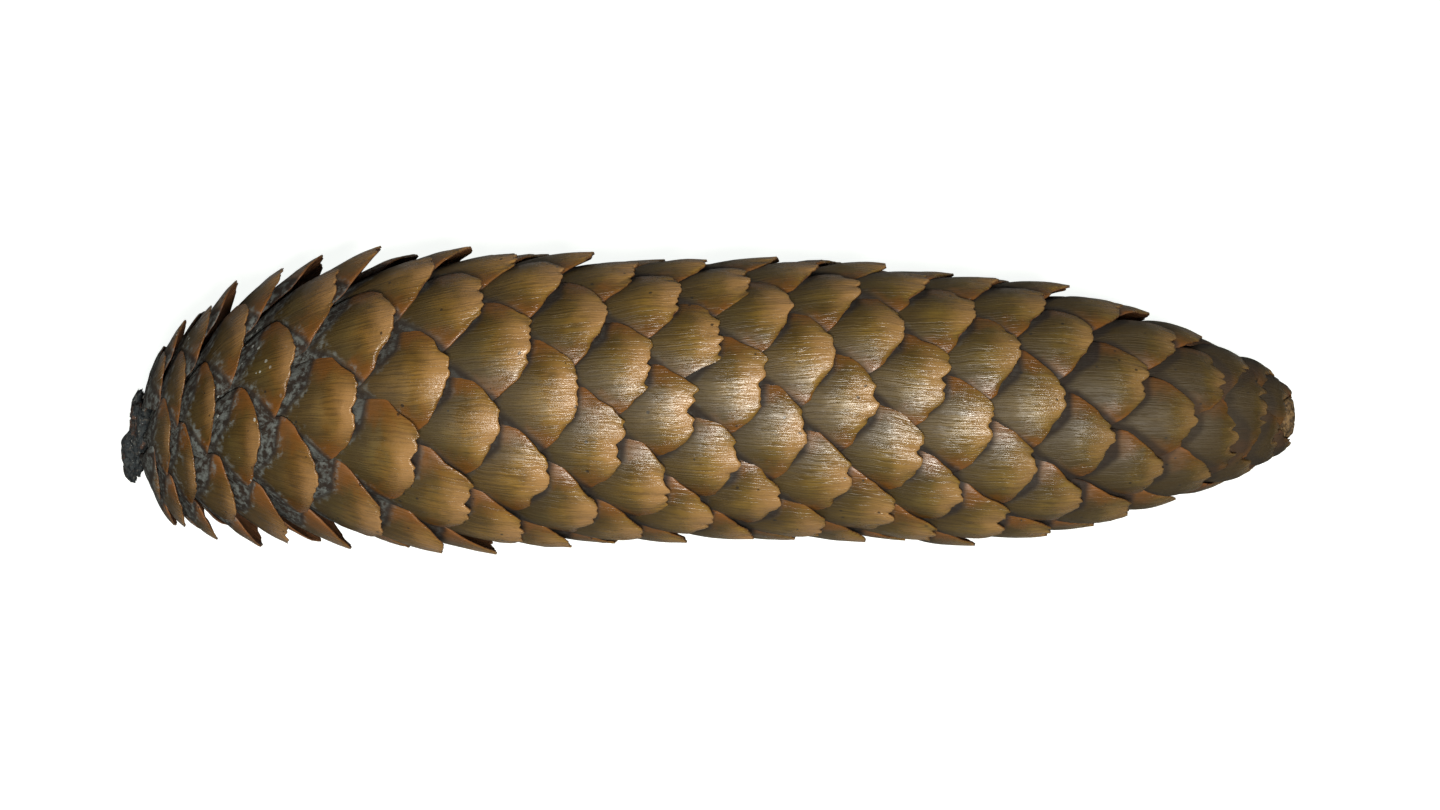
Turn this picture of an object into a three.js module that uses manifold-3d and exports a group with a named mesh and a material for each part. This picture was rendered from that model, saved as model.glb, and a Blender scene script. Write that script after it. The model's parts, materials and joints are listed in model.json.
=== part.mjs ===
// A closed Norway spruce cone lying on its side: a woody central axis that ends in the broken
// stalk, and about two hundred thin overlapping scales set round it on one golden-angle spiral.
// Millimetres. The cone lies along X with the stalk end at -X; +Z is up, away from the ground.
import * as THREE from 'three';
import { mergeVertices } from 'three/addons/utils/BufferGeometryUtils.js';
import Module from 'manifold-3d';

const wasm = await Module();
wasm.setup();

// ---- driving sizes --------------------------------------------------------------------------
const CONE_LENGTH = 140;

// The spiral: every scale sits one golden angle round from the one before it.
const GOLDEN_ANGLE = 137.508;
const SPIRAL_START = -2; // degrees round from the top at which scale 0 stands
const FIRST_SCALE = -75;
const LAST_SCALE = 130;
const ROW_COUNT = 13; // every thirteenth scale stands in the same slanting row

// Where each scale's tip and its foot on the axis lie along the cone: [scale number, position].
const TIP_POSITIONS = [
  [-75, 4.6], [-68, 7.0], [-55, 12.6], [-21, 39.5], [0, 54.3], [89, 111.2], [123, 136.4], [130, 139.9],
];
const FOOT_POSITIONS = [
  [-75, 2.6], [-68, 3.4], [-55, 5.6], [-21, 17.0], [0, 31.2], [89, 88.0], [123, 124.0], [130, 132.5],
];

// Radius the scale tips reach, along the cone: [position, radius].
const TIP_RADII = [
  [3, 6.8], [5, 10.2], [8, 12.8], [12.5, 15.2], [19, 17.0], [28, 18.2], [36, 18.6], [46, 18.4],
  [54, 18.1], [66, 17.3], [84, 17.2], [96, 16.9], [107, 16.0], [116, 14.4], [122, 12.5], [131, 8.3],
  [135, 6.1], [137.5, 4.6], [139.2, 3.1], [140, 2.2],
];

// How far a scale's blade leans out from the line of the axis, in degrees, along the cone.
const BLADE_LEAN = [
  [3, 74], [7, 58], [12, 48], [22, 38], [32, 31], [42, 23], [56, 16], [100, 12.5], [116, 4],
  [126, -8], [131, -20], [135, -30], [137.5, -38], [139.2, -46], [140, -52],
];
const CLAW_LEAN = 64; // lean of the narrow claw where it leaves the axis
const BLADE_REACH = 0.66; // share of the scale's chord over which the blade keeps its lean
const CLAW_REACH = 0.24;

// Outline of one scale from foot to tip: [step along its middle line, half width, thickness] in
// mm. The steps are those of the cubic, which runs fast near the tip: 0.88 lies 5 mm behind it.
const SCALE_STATIONS = [
  [0, 0.5, 0.7],
  [0.46, 5.1, 0.7],
  [0.74, 7.5, 0.6],
  [0.88, 7.8, 0.4],
  [1, 2.4, 0],
];
const ACROSS = 4; // faces across one scale
const FULL_LENGTH = 26; // scales shorter than this are smaller in proportion
const LEAST_BREADTH = 0.8; // but the short ones at both ends stay nearly this broad
const LEAST_THICKNESS = 0.6;
const WIDEST_HALF_ANGLE = 25.8; // a wider scale would reach the one three further on
const CROWN_DROP = 0.25; // how much lower a scale's side edges lie than its middle
const TOP_SHARE = 0.55; // share of the thickness above the scale's middle surface

// The woody axis and the broken stalk: [position, radius].
const STALK_OUTLINE = [
  [0.7, 2.8], [0.1, 3.9], [0.5, 4.6], [1.2, 4.7], [1.6, 4.2], [1.8, 3.4],
];
const AXIS_RADII = [
  [1.8, 3.4], [30, 3.2], [88, 2.6], [118, 1.6], [132, 0.9], [134, 0.9], [137, 1.5], [139, 1.2],
];
const AXIS_SIDES = 12;
const AXIS_RINGS = 18;
const AXIS_RING_CROWDING = 1.5; // above 1 the rings stand closer together at the stalk end
const STALK_LENGTH = 2; // the rough broken end of the axis
const STALK_ROUGHNESS = 0.18; // how far its ridges stand out
const STALK_RIDGES = 5; // steps of the wave that makes the ridges, round and along the stalk
const STALK_RIDGE_SLANT = 3;
const STRIP_GAP = 0.3; // clear space between the axis and the strips of the scale rows
const STRIP_THICKNESS = 0.9;
const STRIP_HALF_ANGLE = 9.5;
const STRIP_OVERRUN = 0.4; // how far a strip runs on past its first and last foot
const FOOT_DEPTH = 0.5; // how deep in the strip a foot starts, as a share of its thickness
const CLAW_HALF_ANGLE = 6;

// The axis wanders a little to the side, and leans until the cone rests along its underside.
const SIDE_BEND = [
  [0, -4.6], [5, -3.6], [10, -2.5], [15, -1.2], [22, -0.4], [32, 0], [86, 0], [97, -0.9],
  [118, -1.3], [140, -2.0],
];
const AXIS_HEIGHT_AT_BASE = 19.3;
const AXIS_FALL = 0.0317; // mm of height lost for each mm along the cone
const REST_SOFTNESS = 0.15; // how sharply the tips underneath flatten against the ground
const REST_REACH = 1; // points higher than this are left where they are

const WOOD_BROWN = 0x8a5a34;
const STALK_BROWN = 0x2c2724;

// ---- helpers --------------------------------------------------------------------------------
const radians = THREE.MathUtils.degToRad;

// Smooth reading between [x, y] pairs, never overshooting them.
function along(table, x) {
  const last = table.length - 1;
  if (x <= table[0][0]) {
    return table[0][1];
  }
  if (x >= table[last][0]) {
    return table[last][1];
  }
  let k = 0;
  while (x > table[k + 1][0]) {
    k += 1;
  }
  const slope = (i) => (table[i + 1][1] - table[i][1]) / (table[i + 1][0] - table[i][0]);
  const tangent = (i) => {
    if (i === 0) {
      return slope(0);
    }
    if (i === last) {
      return slope(last - 1);
    }
    const before = slope(i - 1);
    const after = slope(i);
    return before * after > 0 ? (2 * before * after) / (before + after) : 0;
  };
  const span = table[k + 1][0] - table[k][0];
  const t = (x - table[k][0]) / span;
  const t2 = t * t;
  const t3 = t2 * t;
  return (
    (2 * t3 - 3 * t2 + 1) * table[k][1] +
    (t3 - 2 * t2 + t) * span * tangent(k) +
    (3 * t2 - 2 * t3) * table[k + 1][1] +
    (t3 - t2) * span * tangent(k + 1)
  );
}

// A point given along the cone, out from its axis and round it (degrees from the top).
function place(position, radius, angle) {
  const side = along(SIDE_BEND, position) - radius * Math.sin(radians(angle));
  const height = AXIS_HEIGHT_AT_BASE - AXIS_FALL * position + radius * Math.cos(radians(angle));
  const rested = REST_SOFTNESS * Math.log1p(Math.exp(height / REST_SOFTNESS));
  const z = height > REST_REACH ? height : rested;
  return [position - CONE_LENGTH / 2, side, z];
}

function solidFrom(points, faces) {
  const geometry = new THREE.BufferGeometry();
  geometry.setAttribute('position', new THREE.Float32BufferAttribute(points.flat(), 3));
  geometry.setIndex(faces.flat());
  const merged = mergeVertices(geometry, 1e-5);
  return new wasm.Manifold(
    new wasm.Mesh({
      numProp: 3,
      vertProperties: new Float32Array(merged.attributes.position.array),
      triVerts: new Uint32Array(merged.index.array),
    }),
  );
}

// A tube skin over rings of equal size, closed at both ends.
function loft(rings) {
  const size = rings[0].length;
  const faces = [];
  for (let k = 0; k + 1 < rings.length; k += 1) {
    for (let i = 0; i < size; i += 1) {
      const a = k * size + i;
      const b = k * size + ((i + 1) % size);
      faces.push([a, b, b + size], [a, b + size, a + size]);
    }
  }
  const end = (rings.length - 1) * size;
  for (let i = 1; i + 1 < size; i += 1) {
    faces.push([0, i + 1, i], [end, end + i, end + i + 1]);
  }
  return solidFrom(rings.flat(), faces);
}

function meshFrom(solid, name, colour, roughness) {
  const raw = solid.getMesh();
  const geometry = new THREE.BufferGeometry();
  geometry.setAttribute('position', new THREE.BufferAttribute(raw.vertProperties, 3));
  geometry.setIndex(new THREE.BufferAttribute(raw.triVerts, 1));
  geometry.computeVertexNormals();
  const material = new THREE.MeshStandardMaterial({ color: colour, roughness, metalness: 0 });
  const mesh = new THREE.Mesh(geometry, material);
  mesh.name = name;
  return mesh;
}

// ---- one scale ------------------------------------------------------------------------------
function spiralAngle(number) {
  return SPIRAL_START + number * GOLDEN_ANGLE;
}

function stripRadius(position) {
  return along(AXIS_RADII, position) + STRIP_GAP;
}

// The scale's middle line in the half plane through the axis: a cubic from foot to tip.
function middleLine(number) {
  const footAt = along(FOOT_POSITIONS, number);
  const tipAt = along(TIP_POSITIONS, number);
  const foot = new THREE.Vector2(footAt, stripRadius(footAt) + STRIP_THICKNESS * FOOT_DEPTH);
  const tip = new THREE.Vector2(tipAt, along(TIP_RADII, tipAt));
  const chord = foot.distanceTo(tip);
  const lean = radians(along(BLADE_LEAN, tipAt));
  const claw = radians(Math.max(CLAW_LEAN, along(BLADE_LEAN, tipAt)));
  const out = new THREE.Vector2(Math.cos(claw), Math.sin(claw)).multiplyScalar(chord * CLAW_REACH);
  const back = new THREE.Vector2(Math.cos(lean), Math.sin(lean)).multiplyScalar(chord * BLADE_REACH);
  return new THREE.CubicBezierCurve(foot, foot.clone().add(out), tip.clone().sub(back), tip);
}

function scale(number) {
  const curve = middleLine(number);
  const angle = spiralAngle(number);
  const size = Math.min(1, curve.getLength() / FULL_LENGTH);
  const breadth = Math.max(size, LEAST_BREADTH);
  const points = [];
  const top = [];
  const under = [];
  SCALE_STATIONS.forEach(([share, halfWidth, thickness], k) => {
    const at = curve.getPoint(share);
    const going = curve.getTangent(share);
    const outward = new THREE.Vector2(-going.y, going.x);
    const widest = k === 0 ? CLAW_HALF_ANGLE : WIDEST_HALF_ANGLE;
    const halfAngle = Math.min(THREE.MathUtils.radToDeg((halfWidth * breadth) / at.y), widest);
    const thick = thickness * Math.max(size, LEAST_THICKNESS);
    const pointAt = (v, lift) => {
      const drop = k === 0 ? 0 : CROWN_DROP * size * v * v;
      const moved = at.clone().addScaledVector(outward, lift - drop);
      points.push(place(moved.x, moved.y, angle + v * halfAngle));
      return points.length - 1;
    };
    const topRow = [];
    const underRow = [];
    for (let i = 0; i <= ACROSS; i += 1) {
      const v = (2 * i) / ACROSS - 1;
      const bulge = thick * (1 - v * v);
      if (k === 0 && i % 2 === 1) {
        // the foot has four sides only, so the row between is left out
        const edge = v < 0 ? topRow[i - 1] : points.length;
        topRow.push(edge);
        underRow.push(edge);
        continue;
      }
      const first = pointAt(v, bulge * TOP_SHARE);
      topRow.push(first);
      underRow.push(bulge > 0 ? pointAt(v, bulge * (TOP_SHARE - 1)) : first);
    }
    top.push(topRow);
    under.push(underRow);
  });
  const faces = [];
  for (let k = 0; k + 1 < top.length; k += 1) {
    for (let i = 0; i < ACROSS; i += 1) {
      faces.push([top[k][i], top[k + 1][i + 1], top[k + 1][i]]);
      faces.push([top[k][i], top[k][i + 1], top[k + 1][i + 1]]);
      faces.push([under[k][i], under[k + 1][i], under[k + 1][i + 1]]);
      faces.push([under[k][i], under[k + 1][i + 1], under[k][i + 1]]);
    }
  }
  const middle = ACROSS / 2;
  faces.push([top[0][0], under[0][middle], top[0][middle]]);
  faces.push([top[0][middle], under[0][middle], top[0][ACROSS]]);
  return solidFrom(points, faces.filter((face) => new Set(face).size === 3));
}

// ---- a slanting row of scales, joined at their feet by a strip that hugs the axis ------------
const ROW_TURN = ((ROW_COUNT * GOLDEN_ANGLE + 180) % 360) - 180;

function scaleRow(row) {
  const numbers = [];
  for (let n = FIRST_SCALE + row; n <= LAST_SCALE; n += ROW_COUNT) {
    numbers.push(n);
  }
  // the strip's rings stand midway between the feet it joins
  const rings = [...numbers, LAST_SCALE].map((_, i) => {
    const overrun = i === 0 ? -STRIP_OVERRUN : i === numbers.length ? STRIP_OVERRUN : 0;
    const position = along(FOOT_POSITIONS, numbers[0] + (i - 0.5) * ROW_COUNT) + overrun;
    const angle = spiralAngle(numbers[0]) + (i - 0.5) * ROW_TURN;
    const inner = stripRadius(position);
    const outer = inner + STRIP_THICKNESS;
    return [
      place(position, outer, angle - STRIP_HALF_ANGLE),
      place(position, outer, angle + STRIP_HALF_ANGLE),
      place(position, inner, angle + STRIP_HALF_ANGLE),
      place(position, inner, angle - STRIP_HALF_ANGLE),
    ];
  });
  let solid = loft(rings);
  numbers.forEach((n) => {
    solid = solid.add(scale(n));
  });
  return meshFrom(solid, `scale_row_${String(row + 1).padStart(2, '0')}`, WOOD_BROWN, 0.5);
}

// ---- the woody axis with the broken stalk ----------------------------------------------------
function coneAxis() {
  const outline = [...STALK_OUTLINE];
  const start = AXIS_RADII[0][0];
  const end = AXIS_RADII[AXIS_RADII.length - 1][0];
  for (let k = 1; k <= AXIS_RINGS; k += 1) {
    const position = start + (end - start) * (k / AXIS_RINGS) ** AXIS_RING_CROWDING;
    outline.push([position, along(AXIS_RADII, position)]);
  }
  const rings = outline.map(([position, radius], k) => {
    const ring = [];
    for (let i = 0; i < AXIS_SIDES; i += 1) {
      const angle = (360 * i) / AXIS_SIDES;
      const ridge = STALK_ROUGHNESS * Math.sin(STALK_RIDGES * i + STALK_RIDGE_SLANT * k);
      ring.push(place(position, position < STALK_LENGTH ? radius + ridge : radius, angle));
    }
    return ring;
  });
  return meshFrom(loft(rings), 'cone_axis', STALK_BROWN, 0.9);
}

const cone = new THREE.Group();
cone.name = 'spruce_cone';
cone.add(coneAxis());
for (let row = 0; row < ROW_COUNT; row += 1) {
  cone.add(scaleRow(row));
}

// the cone is set down with the middle of its underside at the origin
const box = new THREE.Box3().setFromObject(cone);
const middle = box.getCenter(new THREE.Vector3());
cone.children.forEach((mesh) => {
  mesh.geometry.translate(-middle.x, -middle.y, -box.min.z);
});

export default cone;
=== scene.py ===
"""A closed spruce cone lying on its side, ready to be looked at from any side.

About two hundred thin woody scales stand round the axis on one golden-angle spiral. Each slanting
row of scales is one piece, and the axis with its broken stalk and the bud at its end is one more.
"""

import json
import math
import random
from types import SimpleNamespace

import bmesh
import bpy
import numpy as np
from bpy.props import FloatProperty, FloatVectorProperty, IntProperty, PointerProperty
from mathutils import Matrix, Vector, noise

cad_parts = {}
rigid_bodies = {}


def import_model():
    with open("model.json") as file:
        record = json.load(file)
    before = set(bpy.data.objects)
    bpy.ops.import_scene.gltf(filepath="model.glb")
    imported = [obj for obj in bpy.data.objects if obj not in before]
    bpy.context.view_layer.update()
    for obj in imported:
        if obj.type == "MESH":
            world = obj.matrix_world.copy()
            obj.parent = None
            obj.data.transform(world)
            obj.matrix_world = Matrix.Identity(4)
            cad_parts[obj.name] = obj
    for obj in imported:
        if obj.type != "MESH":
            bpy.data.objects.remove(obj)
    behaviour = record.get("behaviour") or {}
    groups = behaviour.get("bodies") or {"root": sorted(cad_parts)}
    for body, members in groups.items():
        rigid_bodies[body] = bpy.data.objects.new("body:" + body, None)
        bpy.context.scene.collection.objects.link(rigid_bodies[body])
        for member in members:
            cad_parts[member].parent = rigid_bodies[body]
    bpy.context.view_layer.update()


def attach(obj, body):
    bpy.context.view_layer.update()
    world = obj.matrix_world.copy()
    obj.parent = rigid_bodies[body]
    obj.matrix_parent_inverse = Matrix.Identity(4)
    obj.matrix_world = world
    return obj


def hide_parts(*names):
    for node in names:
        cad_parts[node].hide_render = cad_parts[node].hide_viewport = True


bl_info = {
    "name": "Spruce cone",
    "version": (1, 0, 0),
    "blender": (4, 5, 0),
    "location": "3D View > Sidebar > Spruce cone",
    "description": "Builds a closed spruce cone scale by scale over its packed frame",
    "category": "Add Mesh",
}

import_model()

MM = 0.001

# ---- the plan of the cone, in millimetres along its axis from the stalk end -------------------
CONE_LENGTH = 140.0
FIRST_SCALE = -75
LAST_SCALE = 130
ROW_COUNT = 13
# degrees from one scale to the next, and from the top of the cone to scale nought
GOLDEN_ANGLE = 137.508
SPIRAL_START = -2.0
TIP_POSITIONS = [
    (-75, 4.6), (-68, 7.0), (-55, 12.6), (-21, 39.5), (0, 54.3), (89, 111.2), (123, 136.4),
    (130, 139.9),
]
FOOT_POSITIONS = [
    (-75, 2.6), (-68, 3.4), (-55, 5.6), (-21, 17.0), (0, 31.2), (89, 88.0), (123, 124.0),
    (130, 132.5),
]
TIP_RADII = [
    (3, 6.8), (5, 10.2), (8, 12.8), (12.5, 15.2), (19, 17.0), (28, 18.2), (36, 18.6), (46, 18.4),
    (54, 18.1), (66, 17.3), (84, 17.2), (96, 16.9), (107, 16.0), (116, 14.4), (122, 12.5),
    (131, 8.3), (135, 6.1), (137.5, 4.6), (139.2, 3.1), (140, 2.2),
]
BLADE_LEAN = [
    (3, 74), (7, 58), (12, 48), (22, 38), (32, 31), (42, 23), (56, 16), (100, 12.5), (116, 4),
    (126, -8), (131, -20), (135, -30), (137.5, -38), (139.2, -46), (140, -52),
]
# a scale leaves the axis at the claw's lean, in degrees, and ends at the blade's
CLAW_LEAN = 64.0
BLADE_REACH = 0.66
CLAW_REACH = 0.24
FULL_LENGTH = 26.0
LENGTH_OVER_CHORD = 1.08
LEAST_THICKNESS = 0.6
AXIS_RADII = [
    (1.8, 3.4), (30, 3.2), (88, 2.6), (118, 1.6), (132, 0.9), (134, 0.9), (137, 1.5), (139, 1.2),
]
FOOT_HEIGHT = 0.75
SIDE_BEND = [
    (0, -4.6), (5, -3.6), (10, -2.5), (15, -1.2), (22, -0.4), (32, 0), (86, 0), (97, -0.9),
    (118, -1.3), (140, -2.0),
]
# more than the furthest that the cone bends aside
BEND_ROOM = 5.0
AXIS_HEIGHT_AT_BASE = 19.3
AXIS_FALL = 0.0317
# how softly the lowest tips are pressed flat, and the height below which they are
REST_SOFTNESS = 0.15
REST_REACH = 1.0
# a scale never comes nearer the axis than this
LEAST_RADIUS = 0.4
# the plan's own zero, moved so that the middle of the underside is the origin
SETTLE = Vector((-CONE_LENGTH / 2, -0.041, -0.004))

# ---- one scale: shares run from its foot to its tip and from side to side ---------------------
SCALE_OUTLINE = [
    (0.0, 0.2), (0.15, 0.38), (0.4, 0.8), (0.6, 0.98), (0.7, 1.0), (0.76, 0.97), (0.81, 0.88),
    (0.86, 0.75), (0.91, 0.6), (0.955, 0.455), (0.985, 0.36), (1.0, 0.3),
]
SCALE_TOP = [(0.0, 0.36), (0.4, 0.42), (0.7, 0.34), (0.9, 0.2), (1.0, 0.08)]
SCALE_UNDER = [(0.0, 0.3), (0.4, 0.26), (0.7, 0.2), (0.9, 0.1), (1.0, 0.05)]
HALF_BREADTH = 7.9
# degrees that a full scale covers to each side
WIDEST = 27.2
# how far a scale's side edges curve down and how far it is warped
CROWN = 1.25
UNEVENNESS = 0.3
SEED = 7
RIM_HALF = 0.085
# the front edge is bitten and blunted from this share of the length on
BITE_START = 0.88
SHAPE_COUNT = 8
SHAPE_SEED = 100
SCALE_SEED = 5
SCALE_SEED_STEP = 977
ROWS_ALONG = 34
COLUMNS_ACROSS = 24
# rows crowd towards the tip and columns towards the sides, where a scale curves most
TIP_CROWDING = 1.5
# a scale curls in from this share of its length on, ever more steeply
CURL_START = 0.58
CURL_POWER = 1.9
# the scales that lie over a scale come this many before it on the spiral
COVERING = (3, 5, 8, 13)
# the one of them that its step along the cone and the cover over it are worked out from
TYPICAL_OVER = 8
# a scale's square of the bake map: (share of its length, height in the square)
TOP_TILE = ((0.0, 0.03), (0.45, 0.15), (1.0, 0.68))
UNDER_TILE = ((0.0, 0.95), (0.6, 0.87), (1.0, 0.71))
TILE_HALF_WIDTH = 0.46
TILES_ACROSS = 5
# what each scale brings to the spiral
SCALE_VALUES = (
    "number", "size", "step", "stout", "curl", "fray", "half_angle", "over_half", "shape",
)
LINE_POINTS = ("foot", "elbow", "blade", "tip")


def along(table, x):
    """Smooth reading between (x, y) pairs, never overshooting them."""
    last = len(table) - 1
    if x <= table[0][0]:
        return float(table[0][1])
    if x >= table[last][0]:
        return float(table[last][1])
    k = 0
    while x > table[k + 1][0]:
        k += 1

    def slope(i):
        return (table[i + 1][1] - table[i][1]) / (table[i + 1][0] - table[i][0])

    def tangent(i):
        if i == 0:
            return slope(0)
        if i == last:
            return slope(last - 1)
        before, after = slope(i - 1), slope(i)
        return 2 * before * after / (before + after) if before * after > 0 else 0.0

    span = table[k + 1][0] - table[k][0]
    t = (x - table[k][0]) / span
    t2, t3 = t * t, t * t * t
    return (
        (2 * t3 - 3 * t2 + 1) * table[k][1]
        + (t3 - 2 * t2 + t) * span * tangent(k)
        + (3 * t2 - 2 * t3) * table[k + 1][1]
        + (t3 - t2) * span * tangent(k + 1)
    )


def smooth(x, low, high):
    t = min(1.0, max(0.0, (x - low) / (high - low)))
    return t * t * (3 - 2 * t)


# ---- building node trees ----------------------------------------------------------------------
class Wiring:
    """Adds nodes to a tree and joins them, so that a formula reads in the order it is worked."""

    def __init__(self, tree):
        self.tree = tree

    def feed(self, socket, value):
        if isinstance(value, bpy.types.NodeSocket):
            self.tree.links.new(value, socket)
        else:
            socket.default_value = value

    def add(self, kind, inputs=None, **settings):
        node = self.tree.nodes.new(kind)
        for key, value in settings.items():
            setattr(node, key, value)
        for key, value in (inputs or {}).items():
            self.feed(node.inputs[key], value)
        return node

    def maths(self, operation, *values):
        node = self.add("ShaderNodeMath", operation=operation)
        for socket, value in zip(node.inputs, values):
            self.feed(socket, value)
        return node.outputs[0]

    def vector(self, operation, *values):
        node = self.add("ShaderNodeVectorMath", operation=operation)
        for socket, value in zip(node.inputs, values):
            self.feed(socket, value)
        return node.outputs[0]

    def scaled(self, vector, factor):
        node = self.add("ShaderNodeVectorMath", {0: vector, "Scale": factor}, operation="SCALE")
        return node.outputs[0]

    def joined(self, x, y, z):
        return self.add("ShaderNodeCombineXYZ", {0: x, 1: y, 2: z}).outputs[0]

    def parts(self, vector):
        return self.add("ShaderNodeSeparateXYZ", {0: vector}).outputs

    def ranged(self, value, low, high, to_low=0.0, to_high=1.0, steps="SMOOTHSTEP"):
        node = self.add(
            "ShaderNodeMapRange",
            {0: value, 1: low, 2: high, 3: to_low, 4: to_high},
            interpolation_type=steps,
        )
        return node.outputs[0]

    def mix(self, factor, first, second):
        node = self.add("ShaderNodeMix", data_type="RGBA")
        self.feed(node.inputs[0], factor)
        self.feed(node.inputs[6], first)
        self.feed(node.inputs[7], second)
        return node.outputs[2]

    def ramp(self, factor, stops):
        node = self.add("ShaderNodeValToRGB", {0: factor})
        elements = node.color_ramp.elements
        elements[0].position, elements[0].color = stops[0][0], (*stops[0][1], 1)
        elements[1].position, elements[1].color = stops[-1][0], (*stops[-1][1], 1)
        for position, colour in stops[1:-1]:
            elements.new(position).color = (*colour, 1)
        return node.outputs[0]

    def curve(self, value, points):
        """A smooth reading of points whose x and y both run from 0 to 1."""
        node = self.add("ShaderNodeFloatCurve", {"Value": value})
        curve = node.mapping.curves[0]
        while len(curve.points) < len(points):
            curve.points.new(0.5, 0.5)
        for point, where in zip(curve.points, points):
            point.location = where
        node.mapping.update()
        return node.outputs[0]

    def noise(self, vector, scale=1.0, detail=2.0, roughness=0.5):
        node = self.add(
            "ShaderNodeTexNoise",
            {"Vector": vector, "Scale": scale, "Detail": detail, "Roughness": roughness},
        )
        return node.outputs[0]


def group(name, inputs, outputs, kind="ShaderNodeTree"):
    """A node group with named sockets; gives the group, its wiring and its two ends."""
    tree = bpy.data.node_groups.new(name, kind)
    for label, socket, default in inputs:
        made = tree.interface.new_socket(label, in_out="INPUT", socket_type=socket)
        if default is not None:
            made.default_value = default
    for label, socket in outputs:
        tree.interface.new_socket(label, in_out="OUTPUT", socket_type=socket)
    wiring = Wiring(tree)
    return tree, wiring, wiring.add("NodeGroupInput").outputs, wiring.add("NodeGroupOutput").inputs


FLOAT, VECTOR = "NodeSocketFloat", "NodeSocketVector"

# ---- colours of the finishes ------------------------------------------------------------------
# the tan of the fronts, from the stalk end of the cone (0) to the thin end (1)
TAN_ALONG_CONE = [
    (0.0, (0.16, 0.085, 0.018)),
    (0.16, (0.235, 0.115, 0.026)),
    (0.34, (0.34, 0.19, 0.032)),
    (0.5, (0.28, 0.165, 0.027)),
    (0.7, (0.245, 0.152, 0.025)),
    (1.0, (0.17, 0.115, 0.036)),
]
# broken wood from its deepest hollows to its highest crumbs
CRUMB_COLOURS = [
    (0.3, (0.004, 0.006, 0.008)),
    (0.52, (0.016, 0.024, 0.03)),
    (0.62, (0.05, 0.045, 0.04)),
    (0.72, (0.2, 0.21, 0.2)),
]
SHADE_BROWN = (0.055, 0.034, 0.01, 1)
GROOVE_BROWN = (0.045, 0.026, 0.01, 1)
DULL_BROWN = (0.05, 0.036, 0.012, 1)
THIN_END_BROWN = (0.055, 0.036, 0.014, 1)
# painted shade at the back of a scale, where it goes in under the scales above
RECESS_SHADE_BROWN = (0.042, 0.026, 0.006, 1)
RIM_ORANGE = (0.27, 0.1, 0.024, 1)
# painted shade in the thin gaps beside the edges of the scales above
CONTACT_SHADE_BLACK = (0.016, 0.01, 0.007, 1)
SPECK_BLACK = (0.012, 0.01, 0.008, 1)
RESIN_WHITE = (0.62, 0.66, 0.64, 1)
UNDERSIDE_DARK = (0.1, 0.042, 0.02, 1)
UNDERSIDE_LIGHT = (0.22, 0.1, 0.045, 1)
STALK_WARM = (0.12, 0.05, 0.022, 1)
STALK_SPECK = (0.3, 0.33, 0.33, 1)
BUD_DARK = (0.05, 0.03, 0.014, 1)
BUD_LIGHT = (0.24, 0.15, 0.065, 1)


# ---- finishes shared by the materials ---------------------------------------------------------
def lengthwise_grain():
    """Fine lines that run along the wood: low ridges with thin dark grooves between them."""
    if "Lengthwise grain" in bpy.data.node_groups:
        return bpy.data.node_groups["Lengthwise grain"]
    tree, w, given, out = group(
        "Lengthwise grain",
        [("Place", VECTOR, None), ("Line spacing", FLOAT, 0.5), ("Wander", FLOAT, 0.6)],
        [("Height", FLOAT), ("Shade", FLOAT), ("Groove", FLOAT)],
    )
    x, y, z = w.parts(given["Place"])
    wander = w.maths("MULTIPLY", w.noise(given["Place"], 0.35, 2), given["Wander"])
    x = w.maths("DIVIDE", w.maths("ADD", x, wander), given["Line spacing"])
    ridge = w.noise(w.joined(x, w.maths("MULTIPLY", y, 0.11), z), 1.0, 1.5, 0.5)
    fine = w.noise(
        w.joined(w.maths("MULTIPLY", x, 2.3), w.maths("MULTIPLY", y, 0.3), z), 1.0, 3.0, 0.6
    )
    patches = w.noise(given["Place"], 0.5, 3.0, 0.6)
    away = w.maths("ABSOLUTE", w.maths("SUBTRACT", ridge, 0.5))
    groove = w.ranged(away, 0.0, 0.07, 1.0, 0.0)
    height = w.maths("MULTIPLY_ADD", fine, 0.4, w.maths("MULTIPLY", ridge, 0.6))
    w.feed(out["Height"], w.maths("MULTIPLY_ADD", groove, -0.16, height))
    shade = w.maths("MULTIPLY_ADD", patches, 0.55, w.maths("MULTIPLY", fine, 0.45))
    w.feed(out["Shade"], w.ranged(shade, 0.34, 0.66, steps="LINEAR"))
    w.feed(out["Groove"], groove)
    return tree


def tiny_specks():
    """Where small scattered dots lie."""
    if "Tiny specks" in bpy.data.node_groups:
        return bpy.data.node_groups["Tiny specks"]
    tree, w, given, out = group(
        "Tiny specks",
        [("Place", VECTOR, None), ("Per millimetre", FLOAT, 0.6), ("Size", FLOAT, 0.12)],
        [("Mask", FLOAT)],
    )
    cells = w.add(
        "ShaderNodeTexVoronoi", {"Vector": given["Place"], "Scale": given["Per millimetre"]}
    )
    chosen = w.maths("GREATER_THAN", w.parts(cells.outputs["Color"])[0], 0.72)
    near = w.maths("LESS_THAN", cells.outputs["Distance"], given["Size"])
    w.feed(out["Mask"], w.maths("MULTIPLY", chosen, near))
    return tree


def dusty_bloom():
    """Where a thin grey film lies: patchy, and worn through along the grain."""
    if "Dusty bloom" in bpy.data.node_groups:
        return bpy.data.node_groups["Dusty bloom"]
    tree, w, given, out = group(
        "Dusty bloom",
        [("Place", VECTOR, None), ("Cover", FLOAT, 0.5), ("Patch size", FLOAT, 2.0)],
        [("Mask", FLOAT)],
    )
    size = w.maths("DIVIDE", 1.0, given["Patch size"])
    cloud = w.noise(given["Place"], size, 4.0, 0.65)
    mask = w.ranged(w.maths("ADD", cloud, given["Cover"]), 0.72, 1.1)
    w.feed(out["Mask"], mask)
    return tree


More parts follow.
